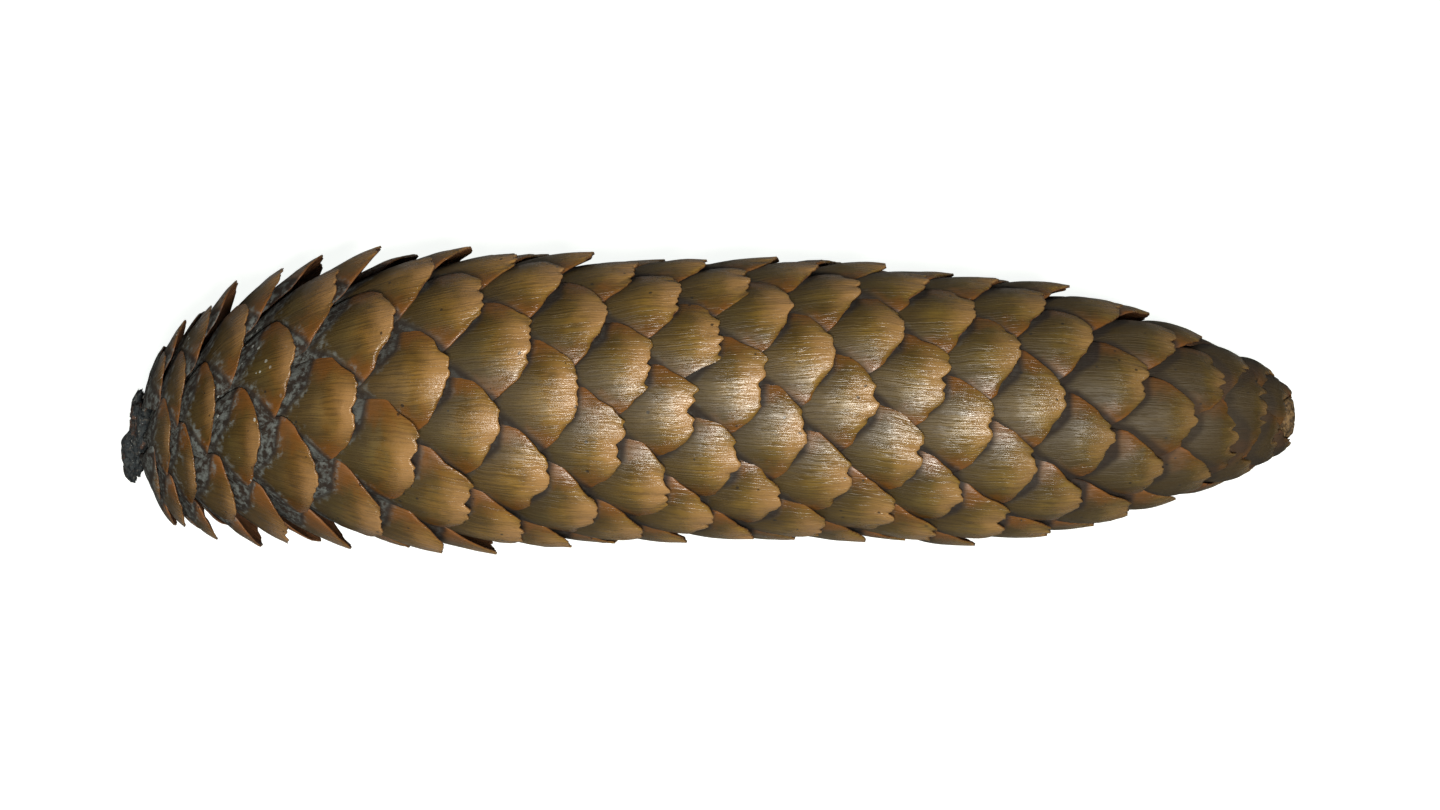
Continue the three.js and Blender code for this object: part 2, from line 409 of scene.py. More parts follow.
def blank_material(name):
    material = bpy.data.materials.new(name)
    material.use_nodes = True
    material.node_tree.nodes.clear()
    w = Wiring(material.node_tree)
    surface = w.add("ShaderNodeBsdfPrincipled")
    end = w.add("ShaderNodeOutputMaterial")
    w.feed(end.inputs["Surface"], surface.outputs[0])
    return material, w, surface.inputs


def attribute(w, name, output="Fac"):
    return w.add("ShaderNodeAttribute", attribute_name=name).outputs[output]


def scale_marks(w):
    """What the spiral left on each point of a scale, read back for the finish."""
    names = ("share", "across", "sideways", "cover", "tone", "upper", "ripe")
    at = SimpleNamespace(**{name: attribute(w, name) for name in names})
    at.place = attribute(w, "grain", "Vector")
    at.edge = w.maths("ABSOLUTE", at.across)
    at.cloud = w.maths("SUBTRACT", w.noise(at.place, 0.55, 3.0, 0.6), 0.5)
    return at


def wood_and_recess_shade(w, at, look, shade, groove):
    """Tan at the front of a scale, olive behind and darkened by painted shade, with dark grain
    lines.
    """
    tan = w.ramp(at.ripe, TAN_ALONG_CONE)
    front = w.ranged(w.maths("MULTIPLY_ADD", at.cloud, 0.25, at.share), 0.7, 0.93)
    olive = w.mix(w.ranged(at.tone, 0.0, 1.0, 0.35, 1.0), tan, look.olive_colour)
    wood = w.mix(front, olive, tan)
    wood = w.mix(w.ranged(shade, 0.0, 1.0, 0.45, 0.0), wood, SHADE_BROWN)
    wood = w.mix(w.maths("MULTIPLY", groove, 0.56), wood, GROOVE_BROWN)
    wood = w.mix(w.maths("MULTIPLY", at.tone, 0.25), wood, DULL_BROWN)
    late = w.ranged(at.ripe, 0.68, 0.92)
    late = w.maths("MULTIPLY", late, w.ranged(front, 0.0, 1.0, 0.75, 0.15))
    wood = w.mix(late, wood, THIN_END_BROWN)
    # painted shade: the back of each scale is darkened towards the edges of the scales above, as if
    # in their shadow
    painted_recess_shade = w.ranged(w.maths("MULTIPLY_ADD", at.cloud, 1.8, at.cover), -4.8, -0.4)
    return w.mix(w.maths("MULTIPLY", painted_recess_shade, 0.8), wood, RECESS_SHADE_BROWN), front


def worn_edges_and_tip_highlight(w, at, look, wood):
    """Pale tip, part own colour, part painted highlight; rust side corners; orange brown rim."""
    reach = w.maths("MULTIPLY_ADD", at.cloud, 0.1, at.share)
    tip = w.maths("MULTIPLY", w.ranged(reach, 0.84, 1.0), w.ranged(at.edge, 1.1, 0.3))
    from_stalk = w.ranged(at.ripe, 0.02, 0.24, 0.34, 0.76)
    to_thin_end = w.ranged(at.ripe, 0.5, 0.95, 1.0, 0.4)
    pale = w.maths("MULTIPLY", tip, w.maths("MULTIPLY", from_stalk, to_thin_end))
    # the pale tip is partly the wood's own paler colour and partly a painted highlight on the tip
    # fronts
    colour = w.mix(pale, wood, look.tip_colour_and_highlight)
    corner = w.maths("ABSOLUTE", at.sideways)
    rust = w.ranged(w.maths("MULTIPLY_ADD", at.cloud, 0.6, corner), 0.34, 0.8)
    rust = w.maths("MULTIPLY", rust, w.ranged(at.ripe, 0.75, 0.92, 0.82, 0.45))
    colour = w.mix(rust, colour, look.rim_colour)
    rim = w.maths("MULTIPLY", w.ranged(at.edge, 0.86, 1.0), w.ranged(reach, 0.8, 0.95, 0.5, 0.1))
    return w.mix(rim, colour, RIM_ORANGE), tip


def film_and_gap_shade(w, at, look, colour):
    """A patchy grey film just outside the edges of the scales above, and painted shade in the gaps
    against them.
    """
    reaches = w.ranged(at.ripe, 0.05, 0.3, -2.6, -1.3)
    near = w.ranged(w.maths("MULTIPLY_ADD", at.cloud, 2.2, at.cover), reaches, 0.0)
    film = w.add(
        "ShaderNodeGroup",
        {"Place": at.place, "Cover": w.maths("MULTIPLY", near, 0.5), "Patch size": 1.2},
        node_tree=dusty_bloom(),
    )
    mottle = w.ranged(w.noise(at.place, 0.95, 4.0, 0.68), 0.42, 0.6)
    bloom = w.maths("MULTIPLY", film.outputs["Mask"], mottle)
    bloom = w.maths("MULTIPLY", bloom, w.ranged(at.ripe, 0.1, 0.32, 0.9, 0.12))
    bloom = w.maths("MULTIPLY", bloom, w.ranged(at.ripe, 0.7, 0.85, 1.0, 0.15))
    # painted shade: a dark band just outside each covering edge, where the gap between the scales
    # lies in shadow
    contact_shade = w.ranged(w.maths("MULTIPLY_ADD", at.cloud, 0.8, at.cover), -0.85, 0.1)
    contact_shade = w.maths("MULTIPLY", contact_shade, w.ranged(at.ripe, 0.8, 0.95, 0.95, 0.6))
    colour = w.mix(contact_shade, colour, CONTACT_SHADE_BLACK)
    # the film thins along the painted shade line so that the dark line shows through
    clear_of_shade_line = w.ranged(w.maths("ABSOLUTE", w.maths("ADD", at.cover, 0.1)), 0.1, 0.45, 0.2, 1.0)
    colour = w.mix(w.maths("MULTIPLY", bloom, clear_of_shade_line), colour, look.bloom_colour)
    return colour, w.maths("ADD", bloom, contact_shade)


def specks_and_resin(w, at, colour):
    """Small black specks all over, and a few white dots of dried resin near the stalk."""
    specks = w.add("ShaderNodeGroup", {"Place": at.place}, node_tree=tiny_specks())
    colour = w.mix(w.maths("MULTIPLY", specks.outputs["Mask"], 0.75), colour, SPECK_BLACK)
    flecks = w.add(
        "ShaderNodeGroup",
        {"Place": w.vector("ADD", at.place, (4.0, 9.0, 2.0)), "Per millimetre": 0.85, "Size": 0.2},
        node_tree=tiny_specks(),
    )
    dried = w.maths("MULTIPLY", w.ranged(at.ripe, 0.16, 0.1), w.ranged(at.tone, 0.55, 0.75))
    dried = w.maths("MULTIPLY", dried, flecks.outputs["Mask"])
    return w.mix(w.maths("MULTIPLY", dried, 0.85), colour, RESIN_WHITE)


def scale_wood(look):
    """The scales: olive to tan wood, rust side corners, pale tips partly a painted highlight, a
    grey film behind and painted shade.
    """
    material, w, surface = blank_material("scale wood")
    at = scale_marks(w)
    grain = w.add(
        "ShaderNodeGroup", {"Place": at.place, "Line spacing": 0.3}, node_tree=lengthwise_grain()
    )
    lines, shade, groove = (grain.outputs[name] for name in ("Height", "Shade", "Groove"))
    wood, front = wood_and_recess_shade(w, at, look, shade, groove)
    colour, tip = worn_edges_and_tip_highlight(w, at, look, wood)
    colour, film_and_shade = film_and_gap_shade(w, at, look, colour)
    colour = specks_and_resin(w, at, colour)
    under = w.mix(shade, UNDERSIDE_DARK, UNDERSIDE_LIGHT)
    w.feed(surface["Base Color"], w.mix(at.upper, under, colour))
    rough = w.maths("MULTIPLY_ADD", lines, 0.24, w.ranged(front, 0.0, 1.0, 0.5, 0.16))
    # roughness rises on the grey film and on the painted shade band
    w.feed(surface["Roughness"], w.maths("MULTIPLY_ADD", film_and_shade, 0.3, rough))
    crinkle = w.noise(w.vector("MULTIPLY", at.place, (1.6, 1.6, 1.0)), 1.5, 3.0, 0.62)
    height = w.maths("MULTIPLY_ADD", crinkle, w.ranged(tip, 0.0, 1.0, 0.16, 0.45), lines)
    bump = w.add("ShaderNodeBump", {"Strength": 1.0, "Distance": 0.11 * MM, "Height": height})
    w.feed(surface["Normal"], bump.outputs[0])
    surface["Specular IOR Level"].default_value = 0.55
    return material


def stalk_wood(look):
    """The broken stalk, near-black crumbled wood with pale flecks, and the brown bud at the end."""
    material, w, surface = blank_material("stalk wood")
    place = w.scaled(w.add("ShaderNodeTexCoord").outputs["Object"], 1 / MM)
    grain = w.add(
        "ShaderNodeGroup",
        {"Place": w.vector("MULTIPLY", place, (0.4, 1.0, 1.0))},
        node_tree=lengthwise_grain(),
    )
    crumbs = w.noise(place, 1.8, 4.0, 0.7)
    colour = w.ramp(crumbs, CRUMB_COLOURS)
    warm = w.ranged(w.noise(place, 0.55, 3.0), 0.56, 0.7)
    colour = w.mix(w.maths("MULTIPLY", warm, 0.6), colour, STALK_WARM)
    film = w.add(
        "ShaderNodeGroup",
        {"Place": place, "Cover": 0.22, "Patch size": 0.9},
        node_tree=dusty_bloom(),
    )
    colour = w.mix(w.maths("MULTIPLY", film.outputs["Mask"], 0.5), colour, look.bloom_colour)
    specks = w.add(
        "ShaderNodeGroup",
        {"Place": place, "Per millimetre": 2.6, "Size": 0.17},
        node_tree=tiny_specks(),
    )
    colour = w.mix(w.maths("MULTIPLY", specks.outputs["Mask"], 0.6), colour, STALK_SPECK)
    bud = w.mix(w.ranged(crumbs, 0.35, 0.65), BUD_DARK, BUD_LIGHT)
    colour = w.mix(w.ranged(w.parts(place)[0], 58.0, 64.0), colour, bud)
    w.feed(surface["Base Color"], colour)
    w.feed(surface["Roughness"], w.ranged(crumbs, 0.3, 0.7, 0.55, 0.95))
    height = w.maths("ADD", crumbs, w.maths("MULTIPLY", grain.outputs["Height"], 0.5))
    bump = w.add("ShaderNodeBump", {"Strength": 0.8, "Distance": 0.4 * MM, "Height": height})
    w.feed(surface["Normal"], bump.outputs[0])
    return material


# ---- the shapes a scale comes in --------------------------------------------------------------
def share_travelled(t):
    """How far along a scale's length its middle line has come, as a share."""
    rest = 1 - t
    return 3 * rest * rest * t * CLAW_REACH + 3 * rest * t * t * (1 - BLADE_REACH) + t**3


def scale_shape(index):
    """One scale laid flat: x along its middle line, y its side-to-side share, z mm of height."""
    rng = random.Random(SHAPE_SEED + index)
    toothed = index % 2 == 0
    phase = rng.uniform(0, math.tau)
    notch = rng.uniform(0.45, 0.85) if toothed else rng.uniform(0.2, 0.4)
    round_off = rng.uniform(0.15, 0.4) if toothed else rng.uniform(0.5, 0.9)
    slant = rng.uniform(-0.3, 0.5)
    blunt = rng.uniform(0.95, 1.3) if toothed else rng.uniform(0.95, 1.15)
    sway = rng.uniform(-0.05, 0.05)
    speed_at_tip = FULL_LENGTH * 3 * BLADE_REACH
    shares = [1 - (1 - i / (ROWS_ALONG - 1)) ** TIP_CROWDING for i in range(ROWS_ALONG)]
    columns = COLUMNS_ACROSS + 1
    sides = [math.sin(math.pi / 2 * (2 * j / COLUMNS_ACROSS - 1)) for j in range(columns)]
    points, tiles = [], []
    values = {name: [] for name in ("share", "across", "sideways", "upper")}
    for is_top in (1, 0):
        for t in shares:
            share = share_travelled(t)
            width = along(SCALE_OUTLINE, share)
            width *= 1 + (blunt - 1) * smooth(share, BITE_START, 1.0)
            body = along(SCALE_TOP if is_top else SCALE_UNDER, share)
            for v in sides:
                wave = 1 + 0.035 * noise.noise(Vector((share * 13, v * 2.0, index * 5.3)))
                y = v * width * wave + sway * share * share * (1 - abs(v)) * 0.4
                torn = noise.noise(Vector((v * 2.2 + phase, index * 3.7, 2.0)))
                nick = noise.noise(Vector((v * 4.0 + phase, index * 2.3, 5.0)))
                bite = notch * max(0.0, 0.3 + torn + 0.7 * nick) + round_off * v * v + slant * v
                x = t - bite / speed_at_tip * smooth(share, BITE_START, 1.0)
                swell = math.sqrt(max(0.0, 1 - v * v))
                ripple = 0.1 * noise.noise(Vector((share * 6, v * 2.2, index * 7.1)))
                ripple += 0.035 * noise.noise(Vector((share * 9, v * 8.0, index * 3.3)))
                ripple += 0.016 * math.cos(v * 19 + phase) * smooth(share, 0.3, 0.8)
                height = RIM_HALF + body * swell
                points.append((x, y, (height if is_top else -height) + ripple))
                for name, value in zip(values, (share, v, y, float(is_top))):
                    values[name].append(value)
                tiles.append(bake_tile(t, v, is_top))
    under = ROWS_ALONG * columns
    faces = []
    for i in range(ROWS_ALONG - 1):
        for j in range(COLUMNS_ACROSS):
            a = i * columns + j
            faces.append((a, a + 1, a + columns + 1, a + columns))
            b = under + a
            faces.append((b, b + columns, b + columns + 1, b + 1))
        left = i * columns
        right = left + COLUMNS_ACROSS
        faces.append((left, left + columns, under + left + columns, under + left))
        faces.append((right, under + right, under + right + columns, right + columns))
    end = (ROWS_ALONG - 1) * columns
    for j in range(COLUMNS_ACROSS):
        faces.append((j, under + j, under + j + 1, j + 1))
        faces.append((end + j, end + j + 1, under + end + j + 1, under + end + j))
    mesh = bpy.data.meshes.new(f"scale_shape_{index}")
    mesh.from_pydata(points, [], faces)
    for name, numbers in values.items():
        mesh.attributes.new(name, "FLOAT", "POINT").data.foreach_set("value", numbers)
    layer = mesh.uv_layers.new(name="OFBake")
    for loop in mesh.loops:
        layer.data[loop.index].uv = tiles[loop.vertex_index]
    mesh.shade_smooth()
    return bpy.data.objects.new(mesh.name, mesh)


def bake_tile(t, v, is_top):
    """Where a point of a scale lies on its own square of the bake map."""
    shares, heights = zip(*(TOP_TILE if is_top else UNDER_TILE))
    return 0.5 + TILE_HALF_WIDTH * v, float(np.interp(t, shares, heights))


# ---- the rule that sets a scale in its place --------------------------------------------------
def stored(w, name, kind="FLOAT"):
    """A value that each scale brought with it."""
    node = w.add("GeometryNodeInputNamedAttribute", {"Name": name}, data_type=kind)
    return node.outputs["Attribute"]


def keep(w, geometry, name, value, kind="FLOAT"):
    """Leaves a value on each point, for the finish to read."""
    node = w.add(
        "GeometryNodeStoreNamedAttribute",
        {"Geometry": geometry, "Name": name},
        data_type=kind,
        domain="POINT",
    )
    w.feed(node.inputs["Value"], value)
    return node.outputs[0]


def chance(w, seed, low, high, step):
    """A number that is each scale's own; every use of it has its own step of the seed."""
    node = w.add(
        "FunctionNodeRandomValue",
        {"ID": stored(w, "number"), "Seed": w.maths("ADD", seed, float(step))},
        data_type="FLOAT",
    )
    node.inputs[2].default_value = low
    node.inputs[3].default_value = high
    return node.outputs[1]


def frayed_back(w, t, y):
    """Takes parts of the front edge back towards the foot, where the scale is frayed."""
    torn = w.noise(w.joined(w.maths("MULTIPLY", y, 3.2), stored(w, "number"), 0.0), 1.0, 2.0, 0.6)
    near_tip = w.ranged(stored(w, "share"), 0.75, 1.0)
    torn = w.maths("MULTIPLY", w.ranged(torn, 0.42, 0.66), near_tip)
    return w.maths("MULTIPLY_ADD", w.maths("MULTIPLY", torn, stored(w, "fray")), -0.1, t)


def bent_line(w, t):
    """Where a scale's middle line has come to, and which way faces out from the cone there."""
    foot, elbow, blade, tip = (stored(w, name, "FLOAT_VECTOR") for name in LINE_POINTS)
    rest = w.maths("SUBTRACT", 1.0, t)
    gone_square, rest_square = w.maths("MULTIPLY", t, t), w.maths("MULTIPLY", rest, rest)
    shares = [
        w.maths("POWER", rest, 3.0),
        w.maths("MULTIPLY", rest_square, w.maths("MULTIPLY", t, 3.0)),
        w.maths("MULTIPLY", gone_square, w.maths("MULTIPLY", rest, 3.0)),
        w.maths("POWER", t, 3.0),
    ]
    middle = w.scaled(foot, shares[0])
    for point, share in zip((elbow, blade, tip), shares[1:]):
        middle = w.vector("ADD", middle, w.scaled(point, share))
    going = w.scaled(w.vector("SUBTRACT", elbow, foot), rest_square)
    turn = w.maths("MULTIPLY", w.maths("MULTIPLY", t, rest), 2.0)
    going = w.vector("ADD", going, w.scaled(w.vector("SUBTRACT", blade, elbow), turn))
    going = w.vector("ADD", going, w.scaled(w.vector("SUBTRACT", tip, blade), gone_square))
    gone = w.parts(w.vector("NORMALIZE", going))
    return middle, w.joined(w.maths("MULTIPLY", gone[1], -1.0), gone[0], 0.0)


def lifted(w, given, t, y, z):
    """How far a point stands off the middle line: thickness, crown, curl, twist, warp and fray."""
    number, size, share = (stored(w, name) for name in ("number", "size", "share"))
    twist = w.maths("MULTIPLY", chance(w, given["Seed"], -0.16, 0.16, 1), w.maths("MULTIPLY", y, t))
    crown = w.maths("MULTIPLY", given["Crown"], chance(w, given["Seed"], 0.75, 1.3, 2))
    drop = w.maths("MULTIPLY", crown, w.maths("MULTIPLY", w.maths("MULTIPLY", y, y), size))
    place = w.joined(w.maths("MULTIPLY", t, 4.0), w.maths("MULTIPLY", y, 1.6), number)
    wobble = w.maths("SUBTRACT", w.noise(place), 0.5)
    wobble = w.maths("MULTIPLY", wobble, given["Unevenness"])
    wobble = w.maths("MULTIPLY", wobble, w.maths("MULTIPLY", size, t))
    lift = w.maths("MULTIPLY", given["Thickness"], stored(w, "stout"))
    lift = w.maths("SUBTRACT", w.maths("MULTIPLY", z, lift), drop)
    curled = w.maths("POWER", w.ranged(share, CURL_START, 1.0, steps="LINEAR"), CURL_POWER)
    lift = w.maths("SUBTRACT", lift, w.maths("MULTIPLY", curled, stored(w, "curl")))
    lift = w.maths("ADD", lift, w.maths("ADD", twist, w.maths("MULTIPLY", wobble, 2.0)))
    place = w.joined(w.maths("MULTIPLY", y, 2.6), t, w.maths("MULTIPLY", number, 2.0))
    crinkle = w.maths("SUBTRACT", w.noise(place), 0.5)
    crinkle = w.maths("MULTIPLY", crinkle, w.ranged(share, 0.6, 1.0))
    return w.maths("MULTIPLY_ADD", crinkle, w.maths("MULTIPLY", stored(w, "fray"), 2.2), lift)


def set_round(w, given, y, position, radius):
    """Turns a point round the axis, bends it aside with the cone and lets it rest on the ground."""
    turned = w.maths(
        "MULTIPLY_ADD", stored(w, "number"), given["Golden angle"], given["Spiral start"]
    )
    turned = w.maths("ADD", turned, chance(w, given["Seed"], -0.9, 0.9, 3))
    turned = w.maths("MULTIPLY_ADD", y, stored(w, "half_angle"), turned)
    angle = w.maths("RADIANS", turned)
    bend = w.curve(
        w.maths("DIVIDE", position, CONE_LENGTH),
        [(s / CONE_LENGTH, -offset / BEND_ROOM) for s, offset in SIDE_BEND],
    )
    side = w.maths("MULTIPLY", bend, -BEND_ROOM)
    side = w.maths("SUBTRACT", side, w.maths("MULTIPLY", radius, w.maths("SINE", angle)))
    height = w.maths("MULTIPLY_ADD", position, -AXIS_FALL, AXIS_HEIGHT_AT_BASE)
    height = w.maths("MULTIPLY_ADD", radius, w.maths("COSINE", angle), height)
    squashed = w.maths("EXPONENT", w.maths("DIVIDE", height, given["Rest softness"]))
    squashed = w.maths("LOGARITHM", w.maths("ADD", squashed, 1.0), math.e)
    squashed = w.maths("MULTIPLY", squashed, given["Rest softness"])
    high = w.maths("GREATER_THAN", height, REST_REACH)
    above = w.add("GeometryNodeSwitch", {"Switch": high}, input_type="FLOAT")
    w.feed(above.inputs["False"], squashed)
    w.feed(above.inputs["True"], height)
    return w.vector("ADD", w.joined(position, side, above.outputs[0]), tuple(SETTLE))


def depth_under(w, y):
    """How deep in mm each point lies under the scales that come before its own on the spiral."""
    size = stored(w, "size")
    cover = -9.0
    for steps in COVERING:
        turn = (steps * GOLDEN_ANGLE + 180) % 360 - 180
        there = w.maths("MULTIPLY_ADD", stored(w, "step"), float(steps), stored(w, "share"))
        aside = w.maths("MULTIPLY_ADD", y, stored(w, "half_angle"), turn)
        aside = w.maths("DIVIDE", aside, stored(w, "over_half"))
        inside = w.maths("SUBTRACT", w.curve(there, SCALE_OUTLINE), w.maths("ABSOLUTE", aside))
        inside = w.maths("MULTIPLY", inside, w.maths("MULTIPLY", size, HALF_BREADTH * 0.7))
        behind = w.maths("MULTIPLY", size, FULL_LENGTH)
        behind = w.maths("MULTIPLY", w.maths("SUBTRACT", 1.0, there), behind)
        cover = w.maths("MAXIMUM", w.maths("MINIMUM", inside, behind), cover)
    return cover


def place_in_wood(w, y):
    """Where a point lies in mm in its own scale's wood, so that the grain fans from the foot."""
    fan = w.maths("ADD", w.maths("MULTIPLY", y, 7.0), w.maths("MULTIPLY", stored(w, "across"), 0.6))
    spread = w.maths("MULTIPLY", fan, w.maths("DIVIDE", stored(w, "half_angle"), WIDEST))
    length = w.maths("MULTIPLY", stored(w, "size"), FULL_LENGTH)
    lengthwise = w.maths("MULTIPLY", stored(w, "share"), length)
    return w.joined(spread, lengthwise, w.maths("MULTIPLY", stored(w, "number"), 3.7))


def spiral_tree():
    """Sets scale shapes round the cone: a golden angle apart, each bent along its middle line."""
    tree, w, given, out = group(
        "Spiral of scales",
        [
            ("Geometry", "NodeSocketGeometry", None),
            ("Scale shapes", "NodeSocketCollection", None),
            ("Golden angle", FLOAT, GOLDEN_ANGLE),
            ("Spiral start", FLOAT, SPIRAL_START),
            ("Crown", FLOAT, CROWN),
            ("Thickness", FLOAT, 1.0),
            ("Unevenness", FLOAT, UNEVENNESS),
            ("Rest softness", FLOAT, REST_SOFTNESS),
            ("Seed", "NodeSocketInt", SEED),
            ("Material", "NodeSocketMaterial", None),
        ],
        [("Geometry", "NodeSocketGeometry")],
        "GeometryNodeTree",
    )
    shapes = w.add(
        "GeometryNodeCollectionInfo",
        {"Collection": given["Scale shapes"], "Separate Children": True, "Reset Children": True},
    )
    placed = w.add(
        "GeometryNodeInstanceOnPoints",
        {
            "Points": given["Geometry"],
            "Instance": shapes.outputs[0],
            "Pick Instance": True,
            "Instance Index": stored(w, "shape", "INT"),
        },
    )
    real = w.add("GeometryNodeRealizeInstances", {"Geometry": placed.outputs[0]})

    t, y, z = w.parts(w.add("GeometryNodeInputPosition").outputs[0])
    t = frayed_back(w, t, y)
    middle, outward = bent_line(w, t)
    at = w.parts(w.vector("ADD", middle, w.scaled(outward, lifted(w, given, t, y, z))))
    position, radius = at[0], w.maths("MAXIMUM", at[1], LEAST_RADIUS)
    landed = set_round(w, given, y, position, radius)

    geometry = keep(w, real.outputs[0], "grain", place_in_wood(w, y), "FLOAT_VECTOR")
    geometry = keep(w, geometry, "tone", chance(w, given["Seed"], 0.0, 1.0, 4))
    geometry = keep(w, geometry, "cover", depth_under(w, y))
    geometry = keep(w, geometry, "ripe", w.maths("DIVIDE", position, CONE_LENGTH))
    moved = w.add(
        "GeometryNodeSetPosition", {"Geometry": geometry, "Position": w.scaled(landed, MM)}
    )
    named = w.add(
        "GeometryNodeSetMaterial", {"Geometry": moved.outputs[0], "Material": given["Material"]}
    )
    w.feed(out["Geometry"], named.outputs[0])
    return tree


def middle_line(number):
    """The four points that a scale's middle line follows, as (position, radius) in mm."""
    foot_at = along(FOOT_POSITIONS, number)
    tip_at = along(TIP_POSITIONS, number)
    foot = np.array([foot_at, along(AXIS_RADII, foot_at) + FOOT_HEIGHT])
    tip = np.array([tip_at, along(TIP_RADII, tip_at)])
    chord = float(np.linalg.norm(tip - foot))
    lean = math.radians(along(BLADE_LEAN, tip_at))
    claw = math.radians(max(CLAW_LEAN, along(BLADE_LEAN, tip_at)))
    out = np.array([math.cos(claw), math.sin(claw)]) * chord * CLAW_REACH
    back = np.array([math.cos(lean), math.sin(lean)]) * chord * BLADE_REACH
    return foot, foot + out, tip - back, tip, chord


def reach_aside(number, widest):
    """Degrees that a scale covers to each side: more near the tip, where the cone is thin."""
    return widest + 45 * smooth(number, 106, 130) ** 1.5


def scale_plan(number, widest):
    """What one scale brings to the spiral: its values, and its middle line's points in mm."""
    rng = random.Random(number * SCALE_SEED_STEP + SCALE_SEED)
    foot, elbow, blade, tip, chord = middle_line(number)
    size = min(1.0, chord * LENGTH_OVER_CHORD / FULL_LENGTH)
    slack = size * (0.4 + 0.6 * smooth(-number, 10, 60))
    tip = tip + np.array([rng.uniform(-0.45, 0.3), rng.uniform(-0.8, 0.4)]) * slack
    # the scales by the stalk and at the thin end curl in less than those between
    curl = size * (1.7 - 1.1 * smooth(-number, 5, 50) - 0.7 * smooth(number, 95, 125))
    tip[1] += 0.7 * curl
    over = middle_line(number - TYPICAL_OVER)[3]
    to_next = float(np.linalg.norm(tip - over)) / TYPICAL_OVER
    values = {
        "number": float(number),
        "size": size,
        "step": to_next / (size * FULL_LENGTH),
        "stout": max(size, LEAST_THICKNESS) * rng.uniform(0.9, 1.15),
        "curl": curl,
        "fray": 0.12 + 0.88 * smooth(number, 108, 127),
        "half_angle": reach_aside(number, widest) * rng.uniform(0.96, 1.04),
        "over_half": reach_aside(number - TYPICAL_OVER, widest),
    }
    pick = rng.randrange(SHAPE_COUNT)
    # along the middle of the cone, half of the toothed shapes give way to rounder ones
    rounder = 40 < number < 112 and pick % 4 == 0
    values["shape"] = pick + 1 if rounder else pick
    return values, (foot, elbow, blade, tip)


def row_carrier(row, widest):
    """One vertex for each scale of a row, holding what the spiral needs to set it in place."""
    numbers = range(FIRST_SCALE + row, LAST_SCALE + 1, ROW_COUNT)
    plans = [scale_plan(number, widest) for number in numbers]
    mesh = bpy.data.meshes.new(f"row_plan_{row}")
    mesh.from_pydata([(0, 0, 0)] * len(plans), [], [])
    for name in SCALE_VALUES:
        kind = "INT" if name == "shape" else "FLOAT"
        told = [values[name] for values, _ in plans]
        mesh.attributes.new(name, kind, "POINT").data.foreach_set("value", told)
    for i, name in enumerate(LINE_POINTS):
        told = [float(x) for _, line in plans for x in (*line[i], 0.0)]
        mesh.attributes.new(name, "FLOAT_VECTOR", "POINT").data.foreach_set("vector", told)
    return bpy.data.objects.new(mesh.name, mesh), len(plans)


def settle_as_mesh(carrier, name):
    """Turns what a carrier's nodes make into a plain mesh object of its own at the origin."""
    graph = bpy.context.evaluated_depsgraph_get()
    mesh = bpy.data.meshes.new_from_object(carrier.evaluated_get(graph))
    carrier.modifiers.clear()
    bpy.data.objects.remove(carrier)
    mesh.name = name
    piece = bpy.data.objects.new(name, mesh)
    bpy.context.scene.collection.objects.link(piece)
    return piece


def spread_bake_tiles(mesh, count, columns):
    """Gives each scale of a row its own square of the bake map."""
    layer = mesh.uv_layers["OFBake"]
    uv = np.zeros(len(mesh.loops) * 2, np.float32)
    layer.data.foreach_get("uv", uv)
    uv = uv.reshape(count, -1, 2)
    cell = 1.0 / columns
    for i in range(count):
        uv[i, :, 0] = (uv[i, :, 0] + i % columns) * cell
        uv[i, :, 1] = (uv[i, :, 1] + i // columns) * cell
    layer.data.foreach_set("uv", uv.ravel())


def tree_inputs(modifier, tree, values):
    for item in tree.interface.items_tree:
        if item.item_type == "SOCKET" and item.in_out == "INPUT" and item.name in values:
            modifier[item.identifier] = values[item.name]


# ---- what a user may change -------------------------------------------------------------------
class ConeSizes(bpy.types.PropertyGroup):
    """Sizes of the cone's scales."""

    golden_angle: FloatProperty(
        name="Golden angle",
        description="Turn from one scale to the next, in degrees",
        default=GOLDEN_ANGLE,
    )
    spiral_start: FloatProperty(
        name="Spiral start",
        description="Where scale nought stands, in degrees from the top",
        default=SPIRAL_START,
    )
    crown: FloatProperty(
        name="Crown",
        description="How far a scale's side edges curve down, in mm",
        default=CROWN,
        min=0.0,
    )
    thickness: FloatProperty(
        name="Thickness",
        description="Thickness of the scales, as a share of the usual",
        default=1.0,
        min=0.2,
    )
    widest: FloatProperty(
        name="Half width",
        description="Angle a scale covers to each side, in degrees",
        default=WIDEST,
        min=5.0,
    )
    unevenness: FloatProperty(
        name="Unevenness",
        description="How far the scales are warped, in mm",
        default=UNEVENNESS,
        min=0.0,
    )
    seed: IntProperty(name="Seed", description="Changes how the scales vary", default=SEED)


def colour_choice(name, description, usual):
    """A colour that a user may change."""
    return FloatVectorProperty(
        name=name,
        description=description,
        subtype="COLOR",
        size=4,
        min=0,
        max=1,
        default=usual,
    )


class ConeColours(bpy.types.PropertyGroup):
    """Colours of the cone."""

    olive_colour: colour_choice(
        "Olive", "Greener brown that some scales lean towards", (0.13, 0.095, 0.016, 1)
    )
    rim_colour: colour_choice(
        "Rim", "Rust brown at the side corners of a scale", (0.18, 0.07, 0.013, 1)
    )
    # the tip colour is partly the scales' own paler wood and partly a painted highlight
    tip_colour_and_highlight: colour_choice(
        "Tip", "Pale pinkish brown at the end of a scale", (0.45, 0.25, 0.1, 1)
    )
    bloom_colour: colour_choice(
        "Bloom", "Grey film beside the scales above and on the stalk", (0.19, 0.215, 0.21, 1)
    )


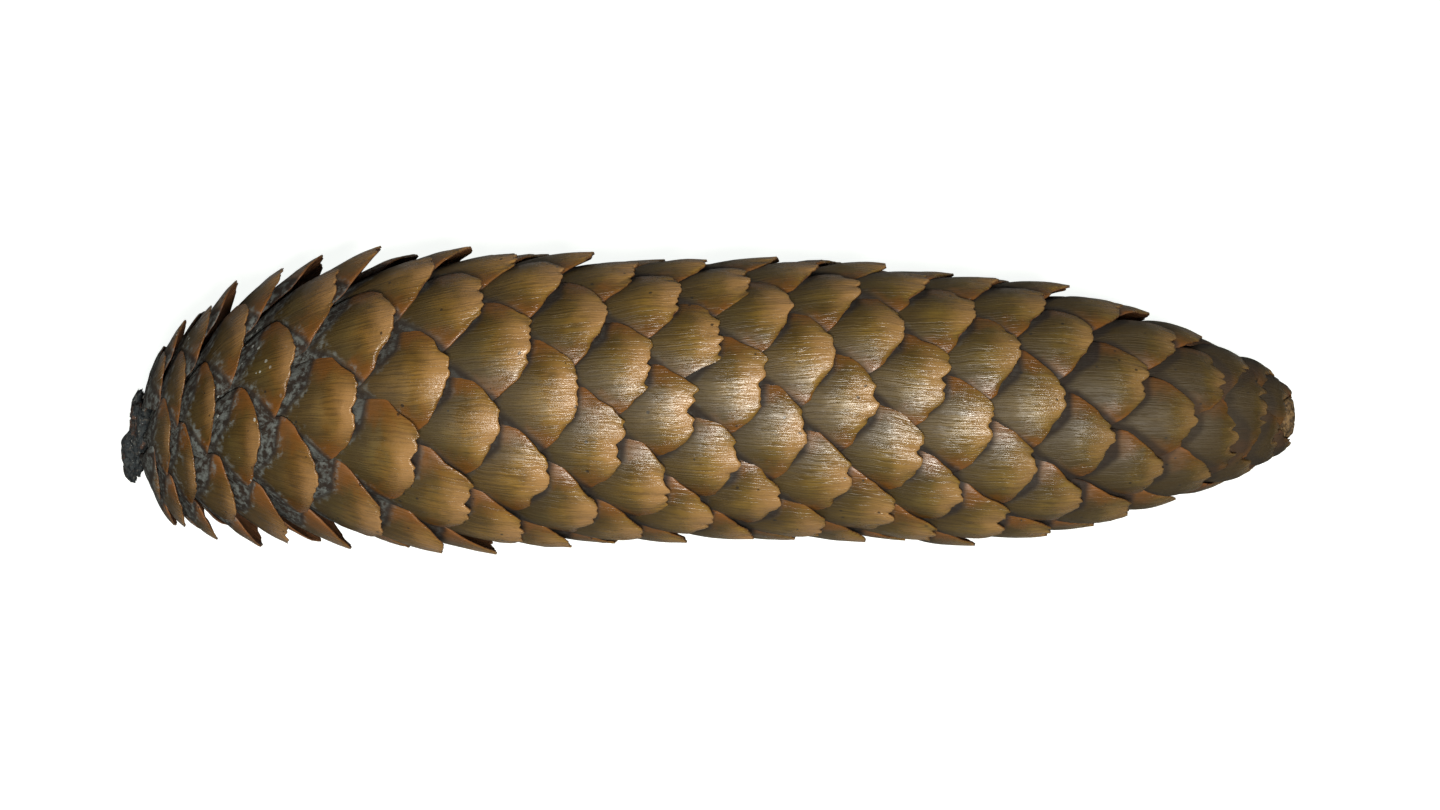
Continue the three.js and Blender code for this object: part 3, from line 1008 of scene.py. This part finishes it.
# ---- the pieces -------------------------------------------------------------------------------
class CONE_OT_scales(bpy.types.Operator):
    """Build every slanting row of scales."""

    bl_idname = "cone.scales"
    bl_label = "Scales"

    def execute(self, context):
        sizes = context.scene.cone_sizes
        finish = scale_wood(context.scene.cone_colours)
        shelf = bpy.data.collections.new("scale shapes")
        for index in range(SHAPE_COUNT):
            shelf.objects.link(scale_shape(index))
        context.scene.collection.children.link(shelf)
        tree = spiral_tree()
        for row in range(ROW_COUNT):
            carrier, count = row_carrier(row, sizes.widest)
            context.scene.collection.objects.link(carrier)
            modifier = carrier.modifiers.new("spiral", "NODES")
            modifier.node_group = tree
            tree_inputs(
                modifier,
                tree,
                {
                    "Scale shapes": shelf,
                    "Golden angle": sizes.golden_angle,
                    "Spiral start": sizes.spiral_start,
                    "Crown": sizes.crown,
                    "Thickness": sizes.thickness,
                    "Unevenness": sizes.unevenness,
                    "Rest softness": REST_SOFTNESS,
                    "Seed": sizes.seed,
                    "Material": finish,
                },
            )
            node = f"scale_row_{row + 1:02d}"
            piece = settle_as_mesh(carrier, f"scales_{row + 1:02d}")
            if len(piece.data.vertices) == 0:
                raise RuntimeError(f"{piece.name} came out empty")
            spread_bake_tiles(piece.data, count, TILES_ACROSS)
            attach(piece, "root")
            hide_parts(node)
        for shape in list(shelf.objects):
            bpy.data.objects.remove(shape)
        bpy.data.collections.remove(shelf)
        return {"FINISHED"}


# the stub, the axis and the bud of crumpled tissue at its end: (position, radius)
STALK_OUTLINE = [
    (0.9, 0.0), (0.75, 1.5), (0.8, 2.8), (0.55, 3.7), (0.5, 4.5), (0.9, 4.95), (1.5, 4.9),
    (2.1, 4.4), (2.8, 3.7), (4.5, 3.3), (30.0, 3.1), (88.0, 2.5), (118.0, 1.5), (132.0, 0.8),
    (134.0, 0.9), (136.0, 1.9), (137.6, 2.6), (138.7, 2.6), (139.4, 1.9), (139.6, 1.0),
    (139.6, 0.0),
]
STUB_END = 9
BUD_START = 14
STALK_SIDES = 120
STALK_ROWS = 180
# shares of the rows: the stub takes the first, the plain axis a few and the bud the last
ROW_SHARES = (0.0, 0.6, 0.68, 1.0)
# the wood is crumbled up to the first of these positions, and whole from the second on
CRUMBLED = (2.4, 4.0)
BUD_SWELLS = (134.0, 136.5)


def place(position, radius, angle):
    """A point given along the cone, out from its axis and round it in radians from the top."""
    side = along(SIDE_BEND, position) - radius * math.sin(angle)
    height = AXIS_HEIGHT_AT_BASE - AXIS_FALL * position + radius * math.cos(angle)
    return Vector((position, side, height)) + SETTLE


def stalk_point(position, radius, angle):
    """A point of the stalk's skin: crumbled on the stub, plain on the axis, folded on the bud."""
    rough = 1 - smooth(position, *CRUMBLED)
    bud = smooth(position, *BUD_SWELLS)
    at = Vector((position, radius * math.sin(angle), radius * math.cos(angle)))
    crumb = noise.fractal(at * 0.9 + Vector((3, 8, 1)), 0.7, 2.1, 5)
    ridge = abs(noise.noise(at * 2.3 + Vector((9, 2, 5))))
    fold = abs(math.sin(2.5 * angle + 1.7 * position)) - 0.6
    wide = 1 + rough * (0.16 * crumb + 0.14 * ridge) + bud * (0.2 * fold + 0.12 * crumb)
    # the half of the broken face towards +Y has crumbled further in
    sunk = rough * smooth(-radius * math.sin(angle), -0.4, 0.9)
    deep = rough * (0.5 * max(0.0, crumb) + 0.35 * ridge) + 0.95 * sunk
    deep *= 1 - smooth(position, 1.2, 2.6)
    out = max(0.06, position + deep - bud * 0.3 * max(0.0, crumb))
    return place(out, max(0.0, radius * wide), angle)


class CONE_OT_stalk(bpy.types.Operator):
    """Build the woody axis and the broken, crumbled end of the stalk."""

    bl_idname = "cone.stalk"
    bl_label = "Stalk and axis"

    def execute(self, context):
        points, faces = [], []
        walk = [0.0]
        for (s0, r0), (s1, r1) in zip(STALK_OUTLINE, STALK_OUTLINE[1:]):
            walk.append(walk[-1] + math.hypot(s1 - s0, r1 - r0))
        stops = (0.0, walk[STUB_END], walk[BUD_START], walk[-1])
        positions, radii = zip(*STALK_OUTLINE)
        for i in range(STALK_ROWS):
            far = float(np.interp(i / (STALK_ROWS - 1), ROW_SHARES, stops))
            position = float(np.interp(far, walk, positions))
            radius = float(np.interp(far, walk, radii))
            for j in range(STALK_SIDES if 0 < i < STALK_ROWS - 1 else 1):
                points.append(stalk_point(position, radius, math.tau * j / STALK_SIDES))

        def ring(i, j):
            return 1 + (i - 1) * STALK_SIDES + j % STALK_SIDES

        for j in range(STALK_SIDES):
            faces.append((0, ring(1, j), ring(1, j + 1)))
            for i in range(1, STALK_ROWS - 2):
                faces.append((ring(i, j), ring(i + 1, j), ring(i + 1, j + 1), ring(i, j + 1)))
            last = len(points) - 1
            faces.append((last, ring(STALK_ROWS - 2, j + 1), ring(STALK_ROWS - 2, j)))
        mesh = bpy.data.meshes.new("stalk")
        mesh.from_pydata([p * MM for p in points], [], faces)
        work = bmesh.new()
        work.from_mesh(mesh)
        bmesh.ops.recalc_face_normals(work, faces=work.faces)
        work.to_mesh(mesh)
        work.free()
        mesh.shade_smooth()
        mesh.materials.append(stalk_wood(context.scene.cone_colours))
        piece = bpy.data.objects.new("stalk", mesh)
        context.scene.collection.objects.link(piece)
        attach(piece, "root")
        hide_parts("cone_axis")
        return {"FINISHED"}


# ---- the stage: metres and watts --------------------------------------------------------------
FLOOR_HALF = 3.0
FLOOR_GLOW = (0.97, 1.0, 0.98, 1)
CONE_MIDDLE = (0.0, 0.0, 0.017)
# name, place, (length, width), watts, colour
LAMPS = (
    ("key", (0.06, -0.12, 0.82), (0.26, 0.11), 8.0, (1.0, 0.96, 0.87)),
    ("fill", (-0.1, -0.8, 0.25), (0.9, 0.3), 0.27, (1.0, 0.97, 0.9)),
    ("back", (0.0, 0.8, 0.4), (0.9, 0.3), 0.11, (1.0, 0.97, 0.9)),
)
ROOM_COLOUR = (1.0, 0.98, 0.94, 1)
ROOM_STRENGTH = 0.055
# the camera looks straight down on a strip this wide, with this point at its middle
VIEW_WIDTH = 0.1712
VIEW_CENTRE = (0.00101, -0.00065, 0.0175)
LENS_MM = 120.0
SENSOR_MM = 36.0


class CONE_OT_stage(bpy.types.Operator):
    """Set the pale floor, the soft lights and the camera."""

    bl_idname = "cone.stage"
    bl_label = "Stage"

    def execute(self, context):
        link = context.scene.collection.objects.link
        self.lay_floor(link)
        for name, at, size, watts, colour in LAMPS:
            data = bpy.data.lights.new(name, "AREA")
            data.shape = "RECTANGLE"
            data.size, data.size_y = size
            data.energy = watts
            data.color = colour
            lamp = bpy.data.objects.new(name, data)
            lamp.location = at
            aim = Vector(CONE_MIDDLE) - Vector(at)
            lamp.rotation_euler = aim.to_track_quat("-Z", "Y").to_euler()
            link(lamp)
        world = bpy.data.worlds.new("soft room")
        world.use_nodes = True
        room = world.node_tree.nodes["Background"].inputs
        room["Color"].default_value = ROOM_COLOUR
        room["Strength"].default_value = ROOM_STRENGTH
        context.scene.world = world
        context.scene.view_settings.view_transform = "Standard"

        data = bpy.data.cameras.new("camera")
        data.lens = LENS_MM
        data.sensor_width = SENSOR_MM
        camera = bpy.data.objects.new("camera", data)
        x, y, z = VIEW_CENTRE
        camera.location = (x, y, z + VIEW_WIDTH * LENS_MM / SENSOR_MM)
        camera.rotation_euler = (0, 0, 0)
        link(camera)
        context.scene.camera = camera
        return {"FINISHED"}

    def lay_floor(self, link):
        mesh = bpy.data.meshes.new("floor")
        corners = [(-FLOOR_HALF, -FLOOR_HALF), (FLOOR_HALF, -FLOOR_HALF)]
        corners += [(FLOOR_HALF, FLOOR_HALF), (-FLOOR_HALF, FLOOR_HALF)]
        mesh.from_pydata([(x, y, 0) for x, y in corners], [], [(0, 1, 2, 3)])
        floor = bpy.data.objects.new("floor", mesh)
        link(floor)
        material, w, surface = blank_material("pale floor")
        # the floor looks pale but throws little light back up at the cone
        seen = w.add("ShaderNodeLightPath").outputs["Is Camera Ray"]
        w.feed(surface["Base Color"], w.mix(seen, (0.2, 0.2, 0.2, 1), (0.4, 0.4, 0.4, 1)))
        surface["Roughness"].default_value = 0.9
        surface["Specular IOR Level"].default_value = 0.1
        surface["Emission Color"].default_value = FLOOR_GLOW
        w.feed(surface["Emission Strength"], w.maths("MULTIPLY", seen, 0.93))
        mesh.materials.append(material)


class CONE_PT_panel(bpy.types.Panel):
    """Buttons and sizes for the cone."""

    bl_idname = "CONE_PT_panel"
    bl_label = "Spruce cone"
    bl_space_type = "VIEW_3D"
    bl_region_type = "UI"
    bl_category = "Spruce cone"

    def draw(self, context):
        column = self.layout.column()
        for operator in OPERATORS:
            column.operator(operator.bl_idname)
        for group_of in (context.scene.cone_sizes, context.scene.cone_colours):
            for name in group_of.bl_rna.properties.keys():
                if name not in ("rna_type", "name"):
                    column.prop(group_of, name)


OPERATORS = (CONE_OT_scales, CONE_OT_stalk, CONE_OT_stage)
CLASSES = (ConeSizes, ConeColours, *OPERATORS, CONE_PT_panel)


def register():
    for each in CLASSES:
        bpy.utils.register_class(each)
    bpy.types.Scene.cone_sizes = PointerProperty(type=ConeSizes)
    bpy.types.Scene.cone_colours = PointerProperty(type=ConeColours)


def unregister():
    del bpy.types.Scene.cone_colours
    del bpy.types.Scene.cone_sizes
    for each in reversed(CLASSES):
        bpy.utils.unregister_class(each)


def main():
    register()
    bpy.ops.cone.scales()
    bpy.ops.cone.stalk()
    bpy.ops.cone.stage()


if __name__ == "__main__":
    main()
